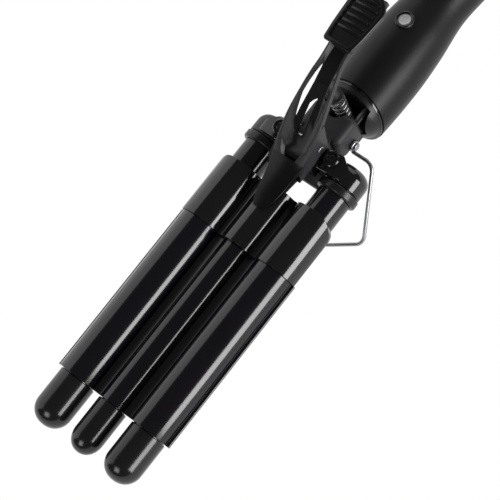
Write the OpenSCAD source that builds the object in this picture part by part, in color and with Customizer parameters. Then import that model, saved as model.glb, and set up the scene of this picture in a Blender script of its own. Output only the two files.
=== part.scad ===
// Three-barrel hair waver with a sprung jaw, a thumb lever and a folding wire stand.
// The origin is the mouth of the cord inlet in the grip's rear. +X runs along the grip's axis
// to the barrel tips and +Z points to the lever's side. Left is the -Y side, right the +Y side.

/* [Barrels] */
// Outside radius of the two outer barrels
barrel_r = 10.5; // [9.5:0.1:11]
// Wall of the outer barrels
barrel_wall = 1.2; // [0.8:0.1:2]
// Distance between the axes of neighbouring barrels
barrel_pitch = 27.8; // [27:0.1:30]
// Height of the barrel axes over the grip's axis
barrel_z = 7.5; // [6.5:0.25:8.5]
// Outside radius of the middle barrel
mid_r = 9.4; // [8.5:0.1:9.8]

/* [Caps] */
// Radius of the outer caps
cap_r = 11.4; // [11.2:0.05:11.5]
// Length of the caps
cap_len = 32; // [24:1:40]
// Length of the caps' domed ends
dome_len = 11; // [8:0.5:14]
// Length of the spigot that a cap has inside its barrel
spigot_len = 8; // [5:0.5:14]

/* [Jaw] */
// Length of the aluminium section
section_len = 112.6; // [90:1:140]
// Wall of the aluminium section
section_wall = 1.5; // [1.2:0.1:1.8]
// Air between an outer barrel and the section's wing
wing_gap = 1.3; // [1.1:0.05:1.6]
// Reach of the lips from the inside of the wings
lip_w = 3.7; // [3:0.1:4.4]
// Length of the jaw's root cover
root_len = 39.8; // [34:0.5:50]
// Wall of the root cover
root_wall = 2.6; // [2:0.1:3]
// Radius of the root cover's rear corners
root_corner_r = 9; // [6:0.5:11]
// Length of bare barrel between the heat rings and the root cover
bare_len = 15.2; // [13:0.2:20]
// Depth that the middle barrel reaches into the root cover
root_seat = 30; // [20:1:34]

/* [Trough] */
// Air between the middle barrel and the trough
trough_gap = 1; // [0.8:0.1:1.4]
// Thickness of the trough plate
trough_t = 1.4; // [1:0.1:1.8]

/* [Collars] */
// Radius of the collars
collar_r = 12.2; // [12:0.1:12.6]
// Length of the collars
collar_len = 14; // [12:0.5:18]
// Radius of the collars' rear edges
collar_edge_r = 7; // [5:0.5:8]
// Radius of the heat rings
ring_r = 12.9; // [12.6:0.1:13]
// Length of the heat rings
ring_len = 5; // [4:0.5:7]
// Groove between a collar and its heat ring
groove_w = 0.5; // [0.3:0.1:0.8]

/* [Yoke] */
// Half distance between the two screw bosses
boss_y = 18.9; // [18.4:0.1:19.6]
// Radius of the screw bosses
boss_r = 4.8; // [4:0.1:5]
// Height of the boss tops over the barrel axes
boss_rise = 16; // [15:0.25:18]
// Thickness of the cross plate
plate_t = 4; // [3:0.25:4.5]
// Length of the cross plate
plate_len = 20; // [19.5:0.25:21]

/* [Neck] */
// Length of the neck block
neck_len = 20; // [18:0.5:24]
// Half width of the neck block
neck_hw = 15; // [14.5:0.1:15.2]
// Height of the neck block's top over the grip's axis
neck_top = 19.5; // [17:0.5:20]
// Radius of the neck block's edges
neck_edge_r = 5; // [3:0.5:6]
// Half width over the two hinge ears
ear_hw = 9.5; // [9:0.1:9.6]
// Thickness of a hinge ear
ear_t = 4; // [3:0.25:4.5]
// Radius of the hinge ears
ear_r = 6; // [5:0.25:6.2]
// Height of the hinge pin over the grip's axis
pivot_z = 27.5; // [26.5:0.25:28.5]
// Radius of the hinge pin
pin_r = 2; // [1.5:0.1:2.5]

/* [Lever] */
// Height of the lever's front over the grip's axis
nose_z = 28.5; // [27.5:0.25:29.5]
// Height of the thumb pad's seat over the grip's axis
pad_z = 64.3; // [60:0.5:70]
// Height of the lever's bend over the grip's axis
bend_z = 56.5; // [53:0.5:59]
// Distance from the hinge pin back to the pad's rear end
lever_reach = 82.5; // [78:1:90]
// Thickness of the lever
lever_t = 4.4; // [3.8:0.2:5.4]
// Half width of the lever at its bend
lever_hw = 10.8; // [10.4:0.1:11.4]
// Half width of the lever at the hinge pin
lever_pin_hw = 12.3; // [12:0.1:12.6]
// Half width of the lever where it meets the pad
lever_waist_hw = 7.8; // [7.4:0.1:8.4]
// Half width of the middle band
band_hw = 5; // [4.6:0.1:5.2]
// Depth of the middle band below the lever's rim
band_drop = 2.6; // [2:0.1:3]
// Width of the lever's rim at its bend
strip_w = 2.2; // [1.8:0.1:2.6]
// Width of the slot in the middle band
slot_w = 4; // [3:0.25:4.5]
// Length of the thumb pad
pad_len = 37.5; // [34:0.5:42]
// Width of the thumb pad
pad_w = 24.4; // [22:0.2:26]
// Half width of the thumb pad's front end
pad_front_hw = 10; // [9:0.1:10.8]
// Thickness of the thumb pad
pad_t = 2.6; // [2.2:0.1:3.5]
// Depth of the thumb pad's hollow
pad_dish = 1.2; // [0.8:0.1:1.5]
// Number of ribs on the thumb pad
pad_ribs = 6; // [4:1:6]
// Distance between neighbouring ribs
rib_pitch = 4.2; // [3.8:0.1:4.6]

/* [Spring] */
// Outside radius of the return spring
spring_r = 5; // [4.5:0.1:5.2]
// Thickness of the spring wire
spring_wire = 1.6; // [1.2:0.1:1.8]
// Number of the spring's curls
spring_turns = 6; // [5:1:7]
// Length of the spring at rest
spring_len = 30; // [26:0.5:32]

/* [Stand] */
// Thickness of the stand's wire
stand_wire_d = 2; // [1.8:0.1:2.2]
// Slope of the stand below the barrels, in degrees
stand_slope = 40.3; // [39:0.5:46]
// Length of the stand from its hinge to its foot
stand_len = 70; // [64:0.5:76]
// Half width of the stand at its shoulders
stand_hw = 43.7; // [42:0.5:47]
// Half width of the stand close to its hinge
stand_hinge_hw = 31.4; // [30.5:0.5:34]
// Half width of the stand's foot
stand_foot_hw = 9; // [8:0.5:12]
// Radius of the stand's bends
stand_bend_r = 7; // [5:0.5:8]
// Height of the stand's hinge over the grip's axis
stand_z = 4.5; // [4:0.25:5]

/* [Grip] */
// Length of the grip on its axis
grip_len = 157.5; // [154:0.5:170]
// Wall of the grip's shells
grip_wall = 2.4; // [2:0.1:3]
// Radius of the grip's rear end
end_r = 12.8; // [12.4:0.1:13.5]
// Radius of the grip's heel
heel_r = 20.5; // [19:0.25:22]
// Distance from the rear end to the heel
heel_x = 42; // [36:1:48]
// Radius of the grip's waist
waist_r = 18.5; // [18:0.1:19.2]
// Distance from the grip's front back to the waist
waist_back = 79.5; // [76:1:84]
// Radius of the grip's shoulder
shoulder_r = 21.1; // [20.5:0.1:21.7]
// Distance from the grip's front back to the shoulder
shoulder_back = 53.5; // [50:0.5:56]
// Radius of the grip's swell
swell_r = 22.3; // [21.8:0.1:23.2]
// Distance from the grip's front back to the swell
swell_back = 29.5; // [26:0.5:33]
// Radius of the grip's front rim
rim_r = 21.1; // [20.7:0.1:21.7]
// Lean of the grip's front rim, in degrees
rim_lean = 16.5; // [12:0.5:20]
// Length of the nose cap's dome
nose_len = 14; // [13.5:0.25:15]
// Wall of the nose cap
nose_wall = 2.2; // [1.8:0.1:2.6]

/* [Inlet] */
// Radius of the cord inlet
inlet_r = 3.4; // [2.5:0.1:4.5]
// Radius of the swivel
swivel_r = 7; // [6:0.1:8]
// Length of the swivel's bearing
swivel_len = 12; // [8:0.5:14]
// Radius of the seat in the grip's rear
seat_r = 10.4; // [9.8:0.1:10.8]

/* [Button] */
// Distance from the grip's front back to the power button
button_back = 54; // [51:0.5:57]
// Lean of the power button, in degrees
button_lean = 6; // [4:0.5:9]
// Radius of the power button
button_r = 3.7; // [3:0.1:4.5]
// Radius of the ring round the power button
bezel_r = 5.85; // [5.4:0.05:6.5]
// Travel of the power button
button_travel = 0.6; // [0.3:0.1:0.9]

/* [Inside] */
// Length of the circuit board
board_len = 50; // [44:1:54]
// Thickness of the circuit board
board_t = 1.6; // [1:0.1:2]
// Thickness of a steel strip of the chassis
chassis_t = 2.5; // [2:0.1:2.6]
// Radius of the screws
screw_r = 1.4; // [1:0.1:1.5]
// Radius of the screw heads
head_r = 2.7; // [2.4:0.1:3]
// Radius of the heaters' lead wires
lead_r = 1; // [0.6:0.1:1.2]
// Radius of the mains wires
mains_r = 1.1; // [0.8:0.1:1.3]
// Half distance between the mains wires
mains_y = 6; // [5.5:0.1:6.5]
// Length of the yoke's screws below their heads
yoke_screw_len = 4.6; // [4:0.1:5.2]
// Height of the yoke's screw heads
head_h = 1.6; // [1.2:0.1:1.8]
// Distance from the grip's front to the spring
spring_ahead = 7.7; // [7.5:0.1:8]
// Distance from the grip's front to the neck block
neck_ahead = 9.5; // [9.3:0.1:9.8]
// Clearance of a piece in its seat
fit = 0.05; // [0.02:0.01:0.08]
// Clearance of a loose piece
loose = 0.3; // [0.3:0.05:0.4]

/* [Hidden] */
$fn = 64;
far = 400;
// Stations along X, each one from its neighbour
waist_x = grip_len - waist_back;
shoulder_x = grip_len - shoulder_back;
swell_x = grip_len - swell_back;
button_x = grip_len - button_back;
spring_x = grip_len + spring_ahead;
shelf_x = spring_x - spring_r;
neck_x = grip_len + neck_ahead;
neck_end_x = neck_x + neck_len;
collar_x = neck_end_x + 2.5;
ring_x = collar_x + collar_len + groove_w;
ring_end_x = ring_x + ring_len;
pivot_x = collar_x + 5.5;
root_x = ring_end_x + bare_len;
section_x = root_x + root_len;
cap_gap = 0.4;
cap_x = section_x + section_len + cap_gap;
barrel_x = collar_x + collar_edge_r;
stand_x = neck_x + neck_len / 2 + 0.4;
// Radii and heights that follow from the sizes above
wing_in_r = barrel_r + wing_gap;
wing_r = wing_in_r + section_wall;
root_r = wing_in_r + root_wall;
root_mid_r = mid_r + root_wall;
plate_top = barrel_z - 2;
boss_top = barrel_z + boss_rise;
shelf_z = -0.5;
shelf_t = 6;
spring_top = shelf_z + spring_len;
web_t = 1.5;
cap_mid_r = mid_r;
arm_x = collar_x - 1;
arm_len = collar_len - loose;
ear_x = pivot_x - ear_r;
strip_y = ear_hw - chassis_t;
chassis_x = grip_len - 37.5;
chassis_z = shelf_z + 0.1;
chassis_h = 6.4;
board_x = button_x - 36;
board_hw = waist_r - grip_wall - 0.4;
rear_post_x = board_x - 18;
front_post_x = chassis_x + 15;
post_r = 3.5;
bar_t = 2.4;
screw_z = -13;
screw_top = 9;
lead_y = neck_hw - 3.5;
lead_z = 10;
swivel_flange_t = 2.6;
swivel_flange_r = swivel_r + 1.6;

// Grip radius at a station: smooth curves through the named radii
GRIP = [[0, end_r], [5, end_r + 2.6], [heel_x, heel_r], [waist_x, waist_r], [shoulder_x, shoulder_r],
    [swell_x, swell_r], [grip_len + 4, rim_r]];
function slope(i) = i == 0 ? 0.6 : i == len(GRIP) - 1 ? -0.08 :
    (GRIP[i + 1][1] - GRIP[i - 1][1]) / (GRIP[i + 1][0] - GRIP[i - 1][0]);
function span(x, i = 0) = i >= len(GRIP) - 2 || x < GRIP[i + 1][0] ? i : span(x, i + 1);
function hermite(a, b, ma, mb, t) = a * (1 + 2 * t) * (1 - t) * (1 - t) + ma * t * (1 - t) * (1 - t)
    + b * t * t * (3 - 2 * t) - mb * t * t * (1 - t);
function grip_at(x, i) = let (w = GRIP[i + 1][0] - GRIP[i][0], t = (x - GRIP[i][0]) / w)
    hermite(GRIP[i][1], GRIP[i + 1][1], slope(i) * w, slope(i + 1) * w, t);
function grip_r(x) = grip_at(x, span(x));
GRIP_STEPS = 44;
grip_end_x = grip_len + 12;
function station(i) = grip_end_x * i / GRIP_STEPS;

// Lever: a parabola from the nose over the bend to the pad, then level below the pad
nose_x = ring_end_x;
pad_end_x = pivot_x - lever_reach;
pad_x = pad_end_x + pad_len;
bend_x = pivot_x - 25;
function lever_top(t) = (1 - t) * (1 - t) * [nose_x, nose_z] + 2 * t * (1 - t) * [bend_x, bend_z]
    + t * t * [pad_x, pad_z - 2.3];
LEVER_STEPS = 20;
LEVER_LINE = concat([for (i = [0 : LEVER_STEPS]) lever_top(i / LEVER_STEPS)],
    [[pad_x - 4, pad_z], [pad_end_x + 1, pad_z]]);
// Height of the lever's top line at a station
line_a = nose_x - 2 * bend_x + pad_x;
line_b = 2 * (bend_x - nose_x);
function line_t(x) = abs(line_a) < 0.01 ? (x - nose_x) / line_b
    : (-line_b - sqrt(line_b * line_b - 4 * line_a * (nose_x - x))) / (2 * line_a);
post_top = lever_top(line_t(spring_x))[1] - band_drop - 0.5;
tongue_x = root_x + 16;
tongue_z = barrel_z + root_mid_r;
recess_x0 = nose_x - 7;
recess_x1 = pad_x + 1;
slot_x0 = pivot_x - 19;
slot_x1 = pivot_x - 0.5;

// Spring: rings along one unbroken wire with straight ends
coil_r = spring_r - spring_wire / 2;
RINGS = 8;
SIDES = 6;
coil_rings = RINGS * spring_turns;
coil_z0 = shelf_z + spring_wire;
coil_h = spring_len - 2 * spring_wire;
function coil_a(i) = 360 * i / RINGS;
function coil_p(i) = [coil_r * cos(coil_a(i)), coil_r * sin(coil_a(i)), coil_z0 + coil_h * i / coil_rings];
COIL = concat([[coil_r, 0, shelf_z]], [for (i = [0 : coil_rings]) coil_p(i)],
    [[coil_p(coil_rings)[0], coil_p(coil_rings)[1], spring_top]]);
function unit(v) = v / norm(v);
coil_out = [for (p = COIL) unit([p[0], p[1], 0])];
coil_gap = min([for (i = [0 : len(COIL) - 1 - RINGS / 2]) for (j = [i + RINGS / 2 : len(COIL) - 1])
    norm(COIL[i] - COIL[j])]) - spring_wire;
echo(least_gap_of_spring_to_itself = coil_gap);

// A cylinder along X from a station, at a place across
module rod(x, l, r, y = 0, z = 0) {
    translate([x, y, z]) rotate([0, 90, 0]) cylinder(h = l, r = r);
}

// A body turned about the X axis from [station, radius] points
module turned(points) {
    rotate([0, 90, 0]) rotate([0, 0, 180]) rotate_extrude() polygon([for (p = points) [p[1], p[0]]]);
}

// A profile drawn in Y and Z, drawn out along X
module along_x(x, l) {
    translate([x, 0, 0]) rotate([90, 0, 90]) linear_extrude(height = l) children();
}

// A profile drawn in X and Z, drawn out evenly to both sides of the middle
module across(hw) {
    translate([0, hw, 0]) rotate([90, 0, 0]) linear_extrude(height = 2 * hw) children();
}

// A square with round corners, from its lower left corner
module round_square(w, h, r) {
    translate([r, 0]) square([w - 2 * r, h]);
    translate([0, r]) square([w, h - 2 * r]);
    for (x = [r, w - r]) for (y = [r, h - r]) translate([x, y]) circle(r);
}

// The slab between two distances ahead of the grip's slanted front rim
module rim_slab(from, to) {
    translate([grip_len, 0, 0]) rotate([0, -rim_lean, 0]) translate([from, -far / 2, -far / 2])
        cube([to - from, far, far]);
}

// The frame of the power button: its origin on the grip, its Z axis out of the grip
module at_button() {
    translate([button_x, 0, grip_r(button_x)]) rotate([0, -button_lean, 0]) children();
}

// The grip's turned shell, behind its slanted rim, with its seat for the end cap
module grip_tube() {
    outside = [for (i = [0 : GRIP_STEPS]) [station(i), grip_r(station(i))]];
    inside = [for (i = [GRIP_STEPS : -1 : 0]) if (station(i) > swivel_len + 2)
        [station(i), grip_r(station(i)) - grip_wall]];
    intersection() {
        turned(concat(outside, inside, [[swivel_len + 1, seat_r + fit], [0, seat_r + fit]]));
        rim_slab(-far, 0);
    }
}

// The grip's full inside, for trimming what stands in it
module grip_core(off) {
    core = [for (i = [3 : GRIP_STEPS]) [station(i), grip_r(station(i)) - off]];
    turned(concat([[station(3), 0]], core, [[grip_end_x, 0]]));
}

module grip_upper_shell() {
    color("#2b2b2d") difference() {
        union() {
            intersection() {
                grip_tube();
                translate([-1, -far / 2, 0]) cube([far, far, far]);
            }
            intersection() {
                grip_core(grip_wall / 2);
                union() {
                    translate([rear_post_x, 0, 0]) cylinder(h = far, r = post_r);
                    translate([front_post_x, 0, chassis_z + bar_t]) cylinder(h = far, r = post_r);
                }
            }
        }
        at_button() translate([0, 0, -6]) cylinder(h = 12, r = bezel_r + fit);
        for (x = [rear_post_x, front_post_x]) translate([x, 0, -1]) cylinder(h = screw_top + 2, r = screw_r + fit);
    }
}

module grip_lower_shell() {
    color("#2b2b2d") difference() {
        union() {
            intersection() {
                grip_tube();
                translate([-1, -far / 2, -far]) cube([far, far, far]);
            }
            intersection() {
                grip_core(grip_wall / 2);
                union() {
                    translate([rear_post_x, 0, -far]) cylinder(h = far, r = post_r);
                    translate([front_post_x, 0, -far]) cylinder(h = far + chassis_z, r = post_r);
                }
            }
        }
        for (x = [rear_post_x, front_post_x]) {
            translate([x, 0, screw_z - 1]) cylinder(h = far, r = screw_r + fit);
            translate([x, 0, -far]) cylinder(h = far + screw_z, r = head_r + fit);
        }
    }
}

// The nose cap's dome, less an even amount
module nose_dome(off) {
    r0 = rim_r - 0.9 - off;
    l0 = nose_len - off;
    arc = [for (a = [90 : -6 : 0]) [grip_len + l0 * cos(a), r0 * sin(a)]];
    turned(concat([[grip_len - 12, 0], [grip_len - 12, r0]], arc));
}

module nose_cap() {
    step = 4;
    color("#242426") difference() {
        union() {
            difference() {
                intersection() {
                    nose_dome(0);
                    rim_slab(0, far);
                }
                nose_dome(nose_wall);
                intersection() {
                    translate([0, -neck_hw - loose, shelf_z - loose]) cube([far, 2 * (neck_hw + loose), far]);
                    rim_slab(step, far);
                }
                intersection() {
                    translate([0, -neck_hw - 1.5, neck_top - 6]) cube([far, 2 * (neck_hw + 1.5), far]);
                    rim_slab(step, far);
                }
            }
            intersection() {
                grip_core(grip_wall + fit);
                rim_slab(-2, 0);
            }
        }
        for (s = [-1, 1]) {
            translate([chassis_x, s * (strip_y + chassis_t / 2) - chassis_t / 2 - fit, chassis_z - fit])
                cube([far, chassis_t + 2 * fit, chassis_h + 2 * fit]);
            rod(chassis_x, far, lead_r + loose, s * lead_y, lead_z);
        }
    }
}

module end_cap() {
    color("#1d1d1f") difference() {
        rod(0, swivel_len, seat_r);
        rod(-1, swivel_len + 2, swivel_r + fit);
    }
}

module neck_block() {
    color("#38383a") difference() {
        union() {
            translate([neck_x, 0, shelf_z]) across(neck_hw)
                round_square(neck_len, neck_top - shelf_z, neck_edge_r);
            intersection() {
                translate([shelf_x, -neck_hw + 3, shelf_z - shelf_t])
                    cube([neck_x + 6 - shelf_x, 2 * (neck_hw - 3), shelf_t + 1]);
                nose_dome(nose_wall + loose);
                rim_slab(1, far);
            }
            translate([neck_end_x - neck_edge_r, -ear_hw, plate_top])
                cube([pivot_x + ear_r + neck_edge_r - neck_end_x, 2 * ear_hw, pivot_z - ear_r - plate_top - 2]);
            for (s = [-1, 1]) translate([0, s * (ear_hw - ear_t / 2), 0]) across(ear_t / 2) {
                translate([ear_x, plate_top + 1]) square([2 * ear_r, pivot_z - plate_top - 1]);
                translate([pivot_x, pivot_z]) circle(ear_r);
            }
        }
        translate([spring_x + 1.5, 0, shelf_z]) cylinder(h = far, r = spring_r + 2);
        translate([spring_x + 1.5 - far, -spring_r - 2, shelf_z]) cube([far, 2 * spring_r + 4, far]);
        translate([0, ear_hw + 1, pivot_z]) rotate([90, 0, 0])
            translate([pivot_x, 0, 0]) cylinder(h = 2 * ear_hw + 2, r = pin_r + fit);
        for (s = [-1, 1]) {
            translate([chassis_x, s * (strip_y + chassis_t / 2) - chassis_t / 2 - fit, chassis_z - fit])
                cube([neck_end_x - chassis_x - 1 + fit, chassis_t + 2 * fit, chassis_h + 2 * fit]);
            rod(neck_x - 1, neck_len + 2, lead_r + fit, s * lead_y, lead_z);
            translate([stand_x, s * (neck_hw - rivet_root), stand_z]) rotate([-s * 90, 0, 0])
                cylinder(h = 10, r = stand_shaft_r + fit);
        }
    }
    color("#38383a") translate([spring_x, 0, shelf_z]) cylinder(h = 3, r = spring_r - spring_wire - loose);
}

module neck_chassis() {
    color("silver") difference() {
        union() {
            for (s = [-1, 1]) translate([chassis_x, s * (strip_y + chassis_t / 2) - chassis_t / 2, chassis_z])
                cube([neck_end_x - chassis_x - 1, chassis_t, chassis_h]);
            translate([front_post_x - 5, -strip_y - 1, chassis_z]) cube([10, 2 * strip_y + 2, bar_t]);
        }
        translate([front_post_x, 0, chassis_z - 1]) cylinder(h = bar_t + 2, r = screw_r + fit);
    }
}

module cross_plate() {
    color("#5f6062") difference() {
        translate([arm_x + 1.5, -barrel_pitch + 4, plate_top - plate_t])
            cube([plate_len, 2 * barrel_pitch - 8, plate_t]);
        for (s = [-1, 1]) {
            rod(arm_x - 1, collar_len + 2 + groove_w, collar_r + fit, s * barrel_pitch, barrel_z);
            rod(ring_x - fit, far, ring_r + fit, s * barrel_pitch, barrel_z);
        }
    }
}

module yoke_arm() {
    plan = [[arm_x, 0], [arm_x, boss_y], [arm_x + 9, barrel_pitch + 6], [far, barrel_pitch + 6], [far, 0]];
    difference() {
        union() {
            intersection() {
                linear_extrude(height = far) polygon(plan);
                along_x(arm_x + 0.5, arm_len) polygon([[ear_hw + 0.4, plate_top], [ear_hw + 0.4, boss_top - 5.5],
                    [boss_y - boss_r, boss_top - 3.2], [boss_y, boss_top - 1.8], [barrel_pitch - 2, boss_top - 2.4],
                    [barrel_pitch + 5, barrel_z + collar_r - 0.4], [barrel_pitch + 5, barrel_z],
                    [boss_y, plate_top]]);
            }
            translate([pivot_x, boss_y, barrel_z]) cylinder(h = boss_rise, r = boss_r);
        }
        rod(collar_x - 5, far, collar_r + fit, barrel_pitch, barrel_z);
        rod(ring_x - fit, far, ring_r + fit, barrel_pitch, barrel_z);
        translate([pivot_x, boss_y, barrel_z]) cylinder(h = boss_rise + 1, r = screw_r + fit);
        translate([pivot_x, boss_y, boss_top - head_h]) cylinder(h = 4, r = head_r + fit);
    }
}

module yoke_arm_left() {
    color("#141415") mirror([0, 1, 0]) yoke_arm();
}

module yoke_arm_right() {
    color("#141415") yoke_arm();
}

// A collar: a cup with a round rear edge, closed behind the barrel
module collar(side) {
    e = collar_edge_r;
    edge = [for (a = [90 : -10 : 0]) [collar_x + e - e * sin(a), collar_r - e + e * cos(a)]];
    translate([0, side * barrel_pitch, barrel_z]) difference() {
        turned(concat([[collar_x, 0]], edge, [[collar_x + collar_len, collar_r], [collar_x + collar_len, 0]]));
        rod(barrel_x, far, barrel_r + fit);
    }
}

module collar_left() {
    color("#3a3a3c") collar(-1);
}

module collar_right() {
    color("#1c1c1e") collar(1);
}

module heat_rings() {
    color("#1b1b1d") for (s = [-1, 1]) translate([0, s * barrel_pitch, barrel_z]) difference() {
        rod(ring_x, ring_len, ring_r);
        rod(ring_x - 1, ring_len + 2, barrel_r + fit);
    }
}

module barrel(side) {
    translate([0, side * barrel_pitch, barrel_z]) difference() {
        rod(barrel_x, cap_x - barrel_x, barrel_r);
        rod(barrel_x - 1, far, barrel_r - barrel_wall);
    }
}

module barrel_left() {
    color("#121214") barrel(-1);
}

module barrel_right() {
    color("#121214") barrel(1);
}

module trough_plate() {
    color("#121214") along_x(section_x + 2, section_len - 4) difference() {
        union() {
            difference() {
                translate([0, barrel_z]) circle(mid_r + trough_gap + trough_t);
                translate([-far / 2, barrel_z - web_t]) square([far, far]);
            }
            translate([-barrel_pitch + 5, barrel_z - web_t - trough_t])
                square([2 * barrel_pitch - 10, trough_t]);
        }
        translate([0, barrel_z]) circle(mid_r + trough_gap);
        for (s = [-1, 1]) translate([s * barrel_pitch, barrel_z]) circle(barrel_r + fit);
    }
}

// A domed cap of a radius, with a spigot for a tube
module cap(r, spigot_r, y) {
    dome = [for (a = [0 : 6 : 90]) [cap_x + cap_len - dome_len + dome_len * sin(a), r * cos(a)]];
    translate([0, y, barrel_z]) turned(concat([[cap_x - spigot_len, 0], [cap_x - spigot_len, spigot_r],
        [cap_x, spigot_r], [cap_x, r]], dome));
}

module cap_left() {
    color("#1d1d20") cap(cap_r, barrel_r - barrel_wall - fit, -barrel_pitch);
}

module cap_right() {
    color("#1d1d20") cap(cap_r, barrel_r - barrel_wall - fit, barrel_pitch);
}

module cap_middle() {
    color("#1d1d20") cap(cap_mid_r, mid_r - section_wall - fit, 0);
}

heater_x = section_x + 4;
heater_len = section_len - spigot_len - 8;
plate_hw = 5;
plate_h = 2.4;

// A heater shoe: a round bar in the tube, with a slot for the heater plate
module shoe(r, x, l) {
    along_x(x, l) difference() {
        circle(r);
        translate([-plate_hw - fit, -plate_h / 2 - fit]) square([2 * (plate_hw + fit), plate_h + 2 * fit]);
    }
}

module heater_shoes() {
    color("silver") for (s = [-1, 1]) translate([0, s * barrel_pitch, barrel_z])
        shoe(barrel_r - barrel_wall - fit, heater_x, heater_len);
}

module heater_plates() {
    color("ivory") for (y = [-barrel_pitch, barrel_pitch])
        translate([heater_x, y - plate_hw, barrel_z - plate_h / 2]) cube([heater_len, 2 * plate_hw, plate_h]);
}

module hinge_pin() {
    head_t = 1.1;
    hw = lever_pin_hw + 0.1 + head_t;
    color("silver") translate([pivot_x, hw, pivot_z]) rotate([90, 0, 0]) {
        translate([0, 0, head_t]) cylinder(h = 2 * hw - 2 * head_t, r = pin_r);
        cylinder(h = head_t, r = pin_r + 0.4);
        translate([0, 0, 2 * hw - head_t]) cylinder(h = head_t, r = pin_r + 0.4);
    }
}

stand_r = stand_wire_d / 2;
eye_r = 2.6;
eye_wire_r = stand_r + 0.08;
eye_bend_r = 1.1;
rivet_head_r = 2.4;
rivet_root = 4.5;
stand_shaft_r = eye_r - eye_wire_r - fit;
eye_y = neck_hw + eye_wire_r + 0.1;
rivet_len = rivet_root + 2 * eye_wire_r + 0.2;

module stand_rivets() {
    color("silver") for (s = [-1, 1]) translate([stand_x, s * (neck_hw - rivet_root), stand_z]) rotate([-s * 90, 0, 0]) {
        cylinder(h = rivet_len, r = stand_shaft_r);
        translate([0, 0, rivet_len]) cylinder(h = 1.1, r = rivet_head_r);
    }
}

module return_spring() {
    color("#c9cacc") translate([spring_x, 0, 0]) tube(COIL, coil_out, spring_wire / 2, SIDES);
}

bezel_depth = 5;

module button_bezel() {
    color("#1a1a1c") at_button() translate([0, 0, -bezel_depth]) difference() {
        cylinder(h = bezel_depth + 0.9, r = bezel_r);
        translate([0, 0, -1]) cylinder(h = bezel_depth + 3, r = button_r + 0.1);
    }
}

stem_r = 1.5;
switch_h = 4;
// Where the button's stem ends, a little over the switch
stem_len = (grip_r(button_x) - switch_h - board_t / 2 - button_travel - 0.3) / cos(button_lean);

module power_button() {
    color("silver") at_button() {
        translate([0, 0, -3.4]) cylinder(h = 4, r = button_r);
        translate([0, 0, -stem_len]) cylinder(h = stem_len - 3.2, r = stem_r);
    }
}

module circuit_board() {
    color("#2f5f3a") translate([board_x, -board_hw, -board_t / 2]) cube([board_len, 2 * board_hw, board_t]);
}

module board_parts() {
    color("#b8a060") {
        translate([board_x + 4, -8, board_t / 2]) cube([8, 16, 6]);
        translate([board_x + 16, 3, board_t / 2]) cylinder(h = 7, r = 3);
        translate([board_x + 16, -5, board_t / 2]) cylinder(h = 7, r = 3);
        translate([board_x + 22, -9, board_t / 2]) cube([7, 6, 1.5]);
    }
}

module tact_switch() {
    x = button_x + stem_len * sin(button_lean);
    color("#202022") {
        translate([x - 3, -3, board_t / 2]) cube([6, 6, switch_h - 1]);
        translate([x, 0, board_t / 2 + switch_h - 1]) cylinder(h = 1, r = 1.7);
    }
}

module lead_wires() {
    color("#b03020") for (s = [-1, 1])
        rod(chassis_x - 4, neck_end_x - 1 - chassis_x + 4, lead_r, s * lead_y, lead_z);
    color("#b03020") for (s = [-1, 1]) translate([chassis_x - 4 - lead_r, s * lead_y, board_t / 2])
        cylinder(h = lead_z + lead_r - board_t / 2, r = lead_r);
}

module mains_wires() {
    start = swivel_len + 0.1 + swivel_flange_t + 0.3;
    color("#705030") for (s = [-1, 1]) rod(start, board_x - start, mains_r, s * mains_y);
}

module grip_screws() {
    color("silver") for (x = [rear_post_x, front_post_x]) {
        translate([x, 0, screw_z]) cylinder(h = screw_top - screw_z, r = screw_r);
        translate([x, 0, screw_z - 1.8]) cylinder(h = 1.8, r = head_r);
    }
}

module yoke_screws() {
    color("#8a8b8d") for (s = [-1, 1]) {
        translate([pivot_x, s * boss_y, boss_top - head_h - yoke_screw_len])
            cylinder(h = yoke_screw_len + 0.1, r = screw_r);
        translate([pivot_x, s * boss_y, boss_top - head_h]) cylinder(h = head_h, r = head_r);
    }
}

// The lever's top line lowered, from the nose back to the pad's rear end
function line_down(d) = [for (p = LEVER_LINE) p - [0, d]];
function turned_round(p) = [for (i = [len(p) - 1 : -1 : 0]) p[i]];

// The lever seen from the side: the arch, the walls round the hinge pin and the tongue on the root cover
module lever_side() {
    bottom = [for (p = turned_round(line_down(lever_t))) if (p[0] < pivot_x - 9) p];
    polygon(concat([[tongue_x, tongue_z + fit], [tongue_x, tongue_z + 1.2], [root_x + 2, tongue_z + 2.6]],
        LEVER_LINE, bottom, [[pivot_x - 6.2, pivot_z - 2], [pivot_x - 4.5, pivot_z - 5], [pivot_x, pivot_z - 6],
        [pivot_x + 8, pivot_z - 6], [root_x - 4, tongue_z + fit]]));
}

// Half of the lever's outline seen from above, from the tongue's end back to the pad
LEVER_EDGE = [[tongue_x, 4], [tongue_x - 3, 6.5], [root_x, 8.2], [root_x - 6, 8.8], [nose_x + 1, 11],
    [pivot_x + 9, lever_pin_hw], [pivot_x - 9, lever_pin_hw], [pivot_x - 16, lever_pin_hw - 0.7],
    [pivot_x - 23, lever_hw], [pivot_x - 30, lever_hw - 1.2], [pivot_x - 36, lever_waist_hw + 0.4],
    [pad_x + 3, lever_waist_hw], [pad_end_x + 4, lever_waist_hw]];

// Half of the opening between the lever's rim and its middle band
GAP = [[pivot_x - 36.5, band_hw + 0.3], [pivot_x - 30, lever_hw - 1.2 - strip_w], [pivot_x - 23, lever_hw - strip_w],
    [pivot_x - 18.5, lever_hw + 0.5 - strip_w], [pivot_x - 14.5, lever_hw - 0.4 - strip_w],
    [pivot_x - 10.5, lever_hw - 0.9 - strip_w], [pivot_x - 6, band_hw + 2], [pivot_x - 7, band_hw + 1.5],
    [pivot_x - 12, band_hw + 1.2], [pivot_x - 18, band_hw + 0.6], [pivot_x - 25, band_hw]];

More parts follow.
